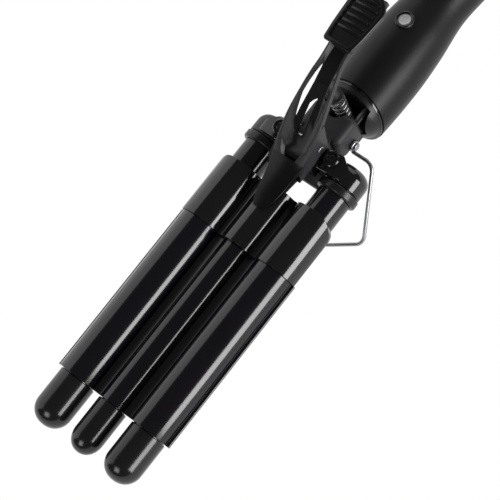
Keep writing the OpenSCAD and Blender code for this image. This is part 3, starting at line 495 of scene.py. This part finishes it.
# %% Yoke screws
screws = []
for side in SIDES:
    y = side * BOSS_Y
    head = pin((BOSS_X, y, HOLE_FLOOR), UPWARD, 2.6, 1.2)
    for long, wide in ((2.5, 0.4), (0.4, 2.5)):
        combine(head, block((BOSS_X - long, y - wide, 22.5), (BOSS_X + long, y + wide, 24)), "DIFFERENCE")
    screws.append(head)
settle(join(*screws), "yoke_screw_heads", dark_steel, "grip_body", ("yoke_screws",), edge=0.12)

# %% [markdown]
# ## Caps
# The cool tips are domed plugs. Each one is turned, with a spigot that sits inside its barrel and a
# small round where it meets the barrel's end, so that hair doesn't catch there. The dome is a little
# fuller than a half circle, which the power of the cosine gives.

# %% Domed caps
DOME_LONG, FULLER = 11, 0.92

def cap_profile(radius, spigot):
    turns = [radians(a) for a in range(6, 90, 6)]
    line = [(CAP_X - 8, 0), (CAP_X - 8, spigot), (CAP_X, spigot), (CAP_X, radius - 0.4),
            (CAP_X + 0.4, radius), (CAP_X + 20, radius)]
    line += [(TIP_X - DOME_LONG + DOME_LONG * sin(a), radius * cos(a) ** FULLER) for a in turns]
    return line + [(TIP_X, 0)]

for y, name, radius, spigot, body in ((-BARREL_Y, "left", 11.4, 9.25, "grip_body"),
                                      (BARREL_Y, "right", 11.4, 9.25, "grip_body"),
                                      (0, "middle", 9.4, 7.85, "upper_jaw")):
    tip = lathe(cap_profile(radius, spigot), y, BARREL_Z)
    settle(tip, "cool_tip_" + name, cap_black, body, ("cap_" + name,), crease=24)

# %% [markdown]
# ## Jaw
# The moving jaw is one long aluminium section: half a tube over each outer barrel, with a lip on
# each outer edge, and a middle tube that they lean on. Its outline is drawn once, seen from the tips,
# and pushed out to the section's length, just as the metal is pressed through its die.

# %% The section's outline
WING_R = 11.8

def jaw_outline(outer, middle, lip, thick, low):
    """From the right lip over the wing, the middle and the left wing, then back along the underside."""
    meet = 90.0
    while True:
        y, z = BARREL_Y + outer * cos(radians(meet)), outer * sin(radians(meet))
        if z < low or hypot(y, z) <= middle:
            break
        meet += 0.25
    on_middle = degrees(asin(min(low, middle) / middle)) if z < low else degrees(atan2(z, y))
    top = arc(BARREL_Y, 0, outer, 6 if lip else 0, meet) + arc(0, 0, middle, on_middle, 90)
    if lip:
        edge = BARREL_Y + WING_R + lip
        top = [(edge, 0), (edge, thick - 0.5), (edge - 0.5, thick)] + top
    left = [(-y, z) for y, z in reversed(top[:-1])]
    under = arc(-BARREL_Y, 0, WING_R, 180, 0.5)
    below = arc(0, 0, middle, 181, 359)
    return top + left + under + below + [(-y, z) for y, z in reversed(under)]

def section_at(x, points):
    return [(x, y, BARREL_Z + z) for y, z in points]

# %% [markdown]
# A bore runs through the middle tube, and a thinner sleeve goes on behind it, under the root cover.

# %% Metal section
metal_line = jaw_outline(outer=13.3, middle=9.4, lip=3.7, thick=1.4, low=2.5)
metal = prism(section_at(SECTION_X, metal_line), (112.6, 0, 0))
combine(metal, pin((SECTION_X - 4, 0, BARREL_Z), ALONG, 7.9, 130, 72), "DIFFERENCE")
sleeve = pin((SECTION_X - 29.5, 0, BARREL_Z), ALONG, 9.35, 29, 72)
settle(join(metal, sleeve), "jaw_metal_section", barrel_coat, "upper_jaw", ("jaw_section",),
       edge=0.2)

# %% [markdown]
# The root cover is the same outline made thicker in plastic. Its two outer rear corners are cut to a
# round seen from above, and a bevel then rounds every edge, as on a part from a mould.

# %% Root cover
ROOT_ROUND = 9
cover_line = jaw_outline(outer=14.4, middle=12.0, lip=0, thick=0, low=4.5)
cover = prism(section_at(ROOT_X, cover_line), (SECTION_X - ROOT_X, 0, 0))
corner_line = ([(ROOT_X - 1, 44), (ROOT_X - 1, 33.0)]
               + arc(ROOT_X + ROOT_ROUND, 33.2, ROOT_ROUND, 180, 90, 15) + [(ROOT_X + ROOT_ROUND, 44)])
for side in SIDES:
    combine(cover, prism([(x, side * y, 0) for x, y in corner_line], (0, 0, 60)), "DIFFERENCE")
settle(cover, "jaw_root_cover", root_black, "upper_jaw", ("jaw_root",), edge=1.0, steps=4,
       crease=38)

# %% [markdown]
# ## Thumb lever
# The lever is the most shaped part: a bow with a raised rim, a sunken glossy band between, a gap on
# each side of the band and a slot in its middle. It is carried through stations along its top line,
# then the sunken part, the gaps and the slot are cut, each with a body that follows the same line.
# The top line is a curve with three handles, as a designer draws it from the side.

# %% The lever's top line
RIM_HANDLES = ((209, 28.5), (170, 56.5), (150, 62.0))

def rim_line(share):
    a, b, c = RIM_HANDLES
    rest = 1 - share
    return [rest ** 2 * p + 2 * share * rest * q + share * share * r for p, q, r in zip(a, b, c)]

def rim_height(x):
    """The height of the top line at x, by solving the curve for its share there."""
    a, b, c = [handle[0] for handle in RIM_HANDLES]
    square, half = a - 2 * b + c, a - b
    share = (half - sqrt(max(half ** 2 - square * (a - x), 0))) / square
    return rim_line(max(0.0, min(1.0, share)))[1]

def between(table, x):
    """A value from a table of places and values, along a straight line from row to row."""
    for (x0, y0), (x1, y1) in zip(table, table[1:]):
        if x <= x1:
            return y0 + (y1 - y0) * (max(x, x0) - x0) / (x1 - x0)
    return table[-1][1]

# %% [markdown]
# Half widths and depths are given at a dozen places along the lever: wide at the hinge, narrow at the
# nose, and deepest over the hinge pin. The section has a flat top with rounded shoulders.

# %% The lever's bow
WIDTHS = [(113, 7.6), (153, 7.6), (159, 7.9), (165, 9.1), (172, 10.1), (179, 11.0), (186, 11.9),
          (190, 12.3), (204, 12.3), (210, 11.2), (217, 9.6), (226, 8.2), (236, 6.2), (240.3, 3.6)]
DEPTHS = [(110, 3.4), (190, 3.4), (195, 4.6), (199, 7.2), (204, 9.4), (209, 7.4), (213, 6.1), (218, 4.7),
          (223, 3.5), (228, 2.7), (233, 2.0), (238, 1.3), (241, 0.8)]
ROUND_TOP = [(-1, -1), (-1, -0.34), (-0.985, -0.16), (-0.95, -0.04), (-0.9, 0), (0.9, 0), (0.95, -0.04),
             (0.985, -0.16), (1, -0.34), (1, -1)]
ARM_TOP = [(113.5, 64.3), (130, 64.3), (143, 64.2), (147, 63.3)]
BEND_TOP = [rim_line(k / 16) for k in range(16, -1, -1)]
NOSE_TOP = [(213, 26.9), (218, 24.9), (223, 23.3), (228, 22.3), (233, 21.6), (238, 20.9), (240.2, 20.2)]
bow = loft(ROUND_TOP, [(x, 0, z, between(WIDTHS, x), between(DEPTHS, x))
                       for x, z in ARM_TOP + BEND_TOP + NOSE_TOP])
print("lever bow:", len(bow.data.polygons), "faces")

# %% [markdown]
# The groove's section is wider above than below, so its walls slope. The gaps and the slot are seen
# from above as long narrow holes, so they are cut straight down.

# %% The sunken band, the gaps and the slot
SUNK = [(149, 6.0), (153, 6.2), (159, 6.8), (165, 8.0), (172, 9.1), (179, 9.9), (186, 10.3), (195, 9.8),
        (201, 8.9), (206, 7.2), (209, 5.0)]
GROOVE = [(-0.69, -2.5), (0.69, -2.5), (1.0, 0), (1.2, 1.6), (-1.2, 1.6), (-1.0, 0)]
GAP_LINE = [(158, 5.2), (165, 7.1), (172, 8.4), (176.5, 9.0), (180.5, 8.6), (184.5, 8.0), (189.5, 7.0),
            (188.3, 6.5), (183, 6.2), (177, 5.5), (170, 4.9), (162, 4.8)]
SLOT_LINE = [(175.5, 1.4), (177, 2.0), (195, 2.1), (195.8, 1.2), (195.8, -1.2), (195, -2.1), (179.5, -2.0),
             (177.4, -0.6)]
THROUGH = (0, 0, 35)
combine(bow, loft(GROOVE, [(x, 0, rim_height(x), half, 1.0) for x, half in SUNK]), "DIFFERENCE")
for side in SIDES:
    combine(bow, prism([(x, side * y, 30) for x, y in GAP_LINE], THROUGH), "DIFFERENCE")
combine(bow, prism([(x, y, 25) for x, y in SLOT_LINE], THROUGH), "DIFFERENCE")
print("lever after its cuts:", len(bow.data.polygons), "faces")

# %% [markdown]
# Two cheeks run down from the rim to the hinge pin, outside the ears of the neck, and a post under
# the band presses on the spring. The room for the ears is cut between the cheeks.

# %% Cheeks and spring post
CHEEK_LINE = [(185.5, 42), (188.8, 26), (191, 22.6), (195, 21.5), (204, 21.4), (212, 20.9), (216, 21.4),
              (214, 25), (204, 31), (195, 37)]
UNDER_LINE = [(180, 10), (204, 10), (204, 26.8), (200, 29.6), (195, 31.4), (180, 31.5)]
POST_FOOT = (SPRING_X, 0, 29.6)
for side in SIDES:
    cheek = prism([(x, side * 9.85, z) for x, z in CHEEK_LINE], (0, side * 2.4, 0))
    combine(cheek, pin((HINGE_X, side * 5, HINGE_Z), (0, side, 0), 2.05, 12), "DIFFERENCE")
    combine(bow, cheek, "UNION")
combine(bow, prism([(x, -9.8, z) for x, z in UNDER_LINE], (0, 19.6, 0)), "DIFFERENCE")
post = pin(POST_FOOT, UPWARD, 3.2, 22.6)
combine(post, pin(POST_FOOT, UPWARD, 5, 1.6), "UNION")
combine(bow, post, "UNION")
settle(bow, "lever_bow", lever_grey, "upper_jaw", ("lever_frame", "jaw_screws"), crease=38)

# %% [markdown]
# The sunken band and the nose have a glossier finish than the rim. They could be pieces of their own,
# but on the real lever they are one moulding with a polished area. So they get a second material: on
# the nose on every face, and behind it on the faces that lie in the groove.

# %% Glossy faces in the groove and on the nose
NOSE_START = 211
BAND_START, BAND_END = 148, 209
bow.data.materials.append(band_black)
glossy = 0
for face in bow.data.polygons:
    x, y, z = [v * 1000 for v in face.center]
    top = rim_height(x)
    in_groove = (BAND_START < x < BAND_END and abs(y) < between(SUNK, x) * 0.72
                 and top - 5.2 < z < top - 1.9)
    if x > NOSE_START or in_groove:
        face.material_index = 1
        glossy += 1
print("glossy faces:", glossy)

# %% [markdown]
# ## Thumb pad
# The pad is a rubbery scoop: round behind, narrower in front, with a raised rim, six ribs and a
# skirt that hides the lever's end. One outline gives the pad, its dish and the skirt, each with its
# own inset, so their walls are even.

# %% Thumb pad
PAD_X, PAD_R, PAD_FRONT = 124.7, 12.2, 150
PAD_WAIST_X, PAD_WAIST, PAD_END = 140, 11.1, 10.0

def pad_outline(inset, z):
    r = PAD_R - inset
    rear = [(PAD_X - r * sin(radians(a)), -r * cos(radians(a)), z) for a in range(0, 181, 10)]
    front, half, chamfer = PAD_FRONT - inset, PAD_END - inset, 1.2
    return rear + [(PAD_WAIST_X, PAD_WAIST - inset, z), (front - chamfer, half, z),
                   (front, half - chamfer, z), (front, chamfer - half, z), (front - chamfer, -half, z),
                   (PAD_WAIST_X, inset - PAD_WAIST, z)]

pad = soften(prism(pad_outline(0, 64.35), (0, 0, 2.55)), 0.8, 4)
combine(pad, prism(pad_outline(2.3, 65.6), (0, 0, 4)), "DIFFERENCE")
for k in range(6):
    x = 117.6 + 4.1 * k
    reach = 7.6 if k else 6.4
    rib = soften(block((x, -reach, 65.2), (x + 1.7, reach, 66.65)), 0.5, 3)
    combine(pad, rib, "UNION")
settle(pad, "thumb_pad_scoop", pad_black, "upper_jaw", ("thumb_pad",), edge=0.18, steps=2)
skirt = prism(pad_outline(1.5, 60.6), (0, 0, 4.2))
combine(skirt, prism(pad_outline(3.0, 60.0), (0, 0, 4.9)), "DIFFERENCE")
combine(skirt, block((146, -6.5, 58), (152, 6.5, 62.5)), "DIFFERENCE")
settle(skirt, "thumb_pad_skirt", pad_black, "upper_jaw", edge=0.3, steps=2)

# %% [markdown]
# ## Pins, wire and spring
# The hinge pin and the stand's rivets have low domed heads, as they are pressed over when fitted.
# A head is a short pin with its edge well rounded, joined to the shaft.

# %% Pin heads and rivets
def add_head(shaft, x, y, z, radius, tall, soft, segments):
    """A low domed head on a shaft that runs across the tool, on the side that y is on."""
    head = pin((x, y, z), (0, -1 if y < 0 else 1, 0), radius, tall)
    return combine(shaft, soften(head, soft, segments), "UNION")

hinge = pin((HINGE_X, -12.4, HINGE_Z), ACROSS, 2.0, 24.8)
for side in SIDES:
    add_head(hinge, HINGE_X, side * 12.35, HINGE_Z, 2.4, 1.1, 0.45, 4)
settle(hinge, "hinge_pin_turned", bright_steel, "grip_body", ("hinge_pin",))
rivets = []
for side in SIDES:
    shaft = pin((STAND_X, side * 10.6, STAND_Z), (0, side, 0), 1.45, 6.8, 32)
    rivets.append(add_head(shaft, STAND_X, side * 17.3, STAND_Z, 2.4, 1.2, 0.5, 5))
settle(join(*rivets), "stand_rivet_pair", bright_steel, "grip_body", ("stand_rivets",))

# %% [markdown]
# The stand is one bent wire and the spring one wound wire. Both start as a line of edges, which is
# turned to a curve and given a round thickness, and then made a mesh again. A bender rounds every
# corner of the wire over a roller, so each corner of the line is swapped for an arc.

# %% A round tube along a line
def tube(points, radius):
    pick(wire(points))
    bpy.ops.object.convert(target="CURVE")
    curve = bpy.context.object
    curve.data.bevel_depth = mm(radius)
    curve.data.bevel_resolution = 4
    curve.data.use_fill_caps = True
    bpy.ops.object.convert(target="MESH")
    return bpy.context.object

def turn_share(turn, share):
    axis, angle = turn.to_axis_angle()
    return Matrix.Rotation(angle * share, 3, axis)

def rounded(points, radius, steps=8):
    """A path in a plane with each inner corner swapped for an arc."""
    path = [points[0]]
    for i in range(1, len(points) - 1):
        back = (points[i - 1] - points[i]).normalized()
        on = (points[i + 1] - points[i]).normalized()
        half = back.angle(on) / 2
        reach = radius[i] / (sin(half) / cos(half))
        centre = points[i] + (back + on).normalized() * (radius[i] / sin(half))
        start, stop = points[i] + back * reach, points[i] + on * reach
        turn = (start - centre).rotation_difference(stop - centre)
        for k in range(steps + 1):
            path.append(centre + turn_share(turn, k / steps) @ (start - centre))
    return path + [points[-1]]

# %% [markdown]
# The stand slopes down and forward from its rivets. Half of its line is drawn in that slope, from an
# eye to the middle of the foot, and the other half mirrors it. Each eye is a small ring of the wire.

# %% Stand
SLOPE = radians(40.3)
EYE_Y = 16.18
WIRE_R = 1.15

def on_slope(u, v):
    return Vector((STAND_X + u * cos(SLOPE), v, STAND_Z - u * sin(SLOPE)))

half_path = [(2.3, EYE_Y), (3.7, EYE_Y), (3.7, 31.4), (50.2, 43.7), (64.4, 21.3), (70, 9)]
bend_radius = [1.3, 1.3, 6.5, 7, 7, 7]
corners = [on_slope(u, v) for u, v in half_path] + [on_slope(u, -v) for u, v in reversed(half_path)]
bail = tube([tuple(p) for p in rounded(corners, bend_radius + bend_radius[::-1])], WIRE_R)
for side in SIDES:
    deselect()
    bpy.ops.mesh.primitive_torus_add(major_radius=mm(2.6), minor_radius=mm(1.06), major_segments=48,
                                     minor_segments=16, location=mm(STAND_X, side * EYE_Y, STAND_Z),
                                     rotation=(pi / 2, 0, 0))
    bpy.ops.object.transform_apply(location=True, rotation=True)
    bail = join(bail, bpy.context.object)
settle(bail, "stand_bail", bright_steel, "stand", ("stand_wire",), crease=60)

# %% [markdown]
# The spring is wound on a mandrel, so its line climbs evenly, with a straight lead at both ends. A real
# spring shortens between neck and lever as the jaw opens; here it gets a mesh of its own.

# %% Return spring
COIL_R, COIL_TURNS, TURN_STEPS, STRAIGHT = 4.2, 6, 24, 1.6
low, high = SPRING_LOW + STRAIGHT, SPRING_TOP - STRAIGHT
coil_steps = TURN_STEPS * COIL_TURNS
coil = [(SPRING_X + COIL_R, 0, SPRING_LOW)]
for k in range(coil_steps + 1):
    a = 2 * pi * k / TURN_STEPS
    coil.append((SPRING_X + COIL_R * cos(a), COIL_R * sin(a), low + (high - low) * k / coil_steps))
coil.append((SPRING_X + COIL_R, 0, SPRING_TOP))
spring = tube(coil, 0.8)
settle(spring, "return_coil", spring_steel, "grip_body", ("return_spring",), crease=60)
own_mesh(spring)

# %% [markdown]
# ## Power button
# A textured silver disc in a dark ring. The disc's face is slightly hollow, so that the thumb finds
# it, and its grain is in the paint. Both are turned about an upright axis and then leaned with the
# grip's surface, because a profile is easier to draw upright.

# %% Button and ring
BUTTON_LEAN = radians(6)
BUTTON_X, BUTTON_Z = 103.5, 21.06
BEZEL_LINE = [(5.85, -5), (5.85, 0.2), (5.5, 0.75), (5.0, 0.9), (4.4, 0.75), (3.85, 0.1), (3.85, -5),
              (5.85, -5)]
DISC_LINE = [(0, -3.4), (3.7, -3.4), (3.7, 0.35), (3.45, 0.6), (2.9, 0.5), (1.4, 0.42), (0, 0.4)]

def on_button(profile):
    return lathe_up([(r, BUTTON_Z + h) for r, h in profile], BUTTON_X, 0, 72)

def leaned(piece):
    """Turns an upright piece about the button's place on the grip."""
    pick(piece)
    bpy.ops.transform.rotate(value=BUTTON_LEAN, orient_axis="Y", center_override=mm(BUTTON_X, 0, BUTTON_Z))
    bpy.ops.object.transform_apply(rotation=True, location=True)
    return piece

settle(leaned(on_button(BEZEL_LINE)), "button_ring", gloss_black, "grip_body",
       ("button_bezel",), crease=40)
disc = on_button(DISC_LINE)
combine(disc, pin((BUTTON_X, 0, BUTTON_Z - 15), UPWARD, 1.5, 12), "UNION")
settle(leaned(disc), "button_disc", silver_paint, "button", ("power_button",), crease=40)

# %% [markdown]
# ## Floor and light
# The tool floats over a white ground in the photograph, so the floor is plain and pale. It is white
# to the camera, and in what metal mirrors, but pale to the lamps, so that it still takes a shadow.

# %% Floor
def white_to_camera(name, colour, strength):
    material = bpy.data.materials.new(name)
    material.use_nodes = True
    tree = material.node_tree
    shader = tree.nodes["Principled BSDF"]
    shader.inputs["Base Color"].default_value = (*colour, 1)
    shader.inputs["Roughness"].default_value = 0.9
    glow = tree.nodes.new("ShaderNodeEmission")
    glow.inputs["Strength"].default_value = strength
    path = tree.nodes.new("ShaderNodeLightPath")
    seen = path.outputs["Is Camera Ray"]
    for ray in ("Is Glossy Ray", "Is Transmission Ray"):
        total = tree.nodes.new("ShaderNodeMath")
        total.operation = "MAXIMUM"
        tree.links.new(seen, total.inputs[0])
        tree.links.new(path.outputs[ray], total.inputs[1])
        seen = total.outputs[0]
    mixed = tree.nodes.new("ShaderNodeMixShader")
    tree.links.new(seen, mixed.inputs[0])
    tree.links.new(shader.outputs[0], mixed.inputs[1])
    tree.links.new(glow.outputs[0], mixed.inputs[2])
    tree.links.new(mixed.outputs[0], tree.nodes["Material Output"].inputs["Surface"])
    return material

FLOOR_Z = -43.0
deselect()
bpy.ops.mesh.primitive_plane_add(size=6, location=mm(200, 0, FLOOR_Z))
floor = bpy.context.object
floor.name = "floor"
bpy.ops.object.transform_apply(location=True)
floor.data.materials.append(white_to_camera("pale_floor", (0.82, 0.82, 0.82), 1.0))
print("floor at", FLOOR_Z, "mm")

# %% [markdown]
# A dark tool shows its shape by what it mirrors. A long soft light on each side gives every barrel
# its two highlights, and two smaller ones light the caps and the grip. The world is only a faint
# fill, because more of it would turn the blacks grey.

# %% World and lamps
world = bpy.data.worlds.new("studio")
world.use_nodes = True
bpy.context.scene.world = world
sky = world.node_tree.nodes["Background"]
sky.inputs["Color"].default_value = (1, 1, 1, 1)
sky.inputs["Strength"].default_value = 0.1
bpy.context.scene.view_settings.view_transform = "Standard"

def lamp(name, direction, distance, size, watts):
    aim = Vector(mm(230, 0, 10))
    place = aim + Vector(direction).normalized() * distance
    bpy.ops.object.light_add(type="AREA", location=place)
    light = bpy.context.object
    light.name = name
    light.data.shape = "RECTANGLE"
    light.data.size, light.data.size_y = size
    light.data.energy = watts
    out = (place - aim).normalized()
    side = Vector((0, 0, 1)).cross(out).normalized()
    turn = Matrix((side, out.cross(side), out)).transposed().to_4x4()
    light.matrix_world = Matrix.Translation(place) @ turn

lamp("strip_right", (-0.09, 0.96, 0.25), 1.3, (1.05, 0.58), 19.5)
lamp("panel_left", (-0.05, -0.93, 0.36), 1.2, (2.4, 1.6), 14.5)
lamp("panel_tips", (0.9, 0.05, 0.55), 1.5, (0.6, 0.6), 5)
lamp("panel_grip", (-0.9, -0.15, 0.42), 1.5, (1.6, 1.0), 6)
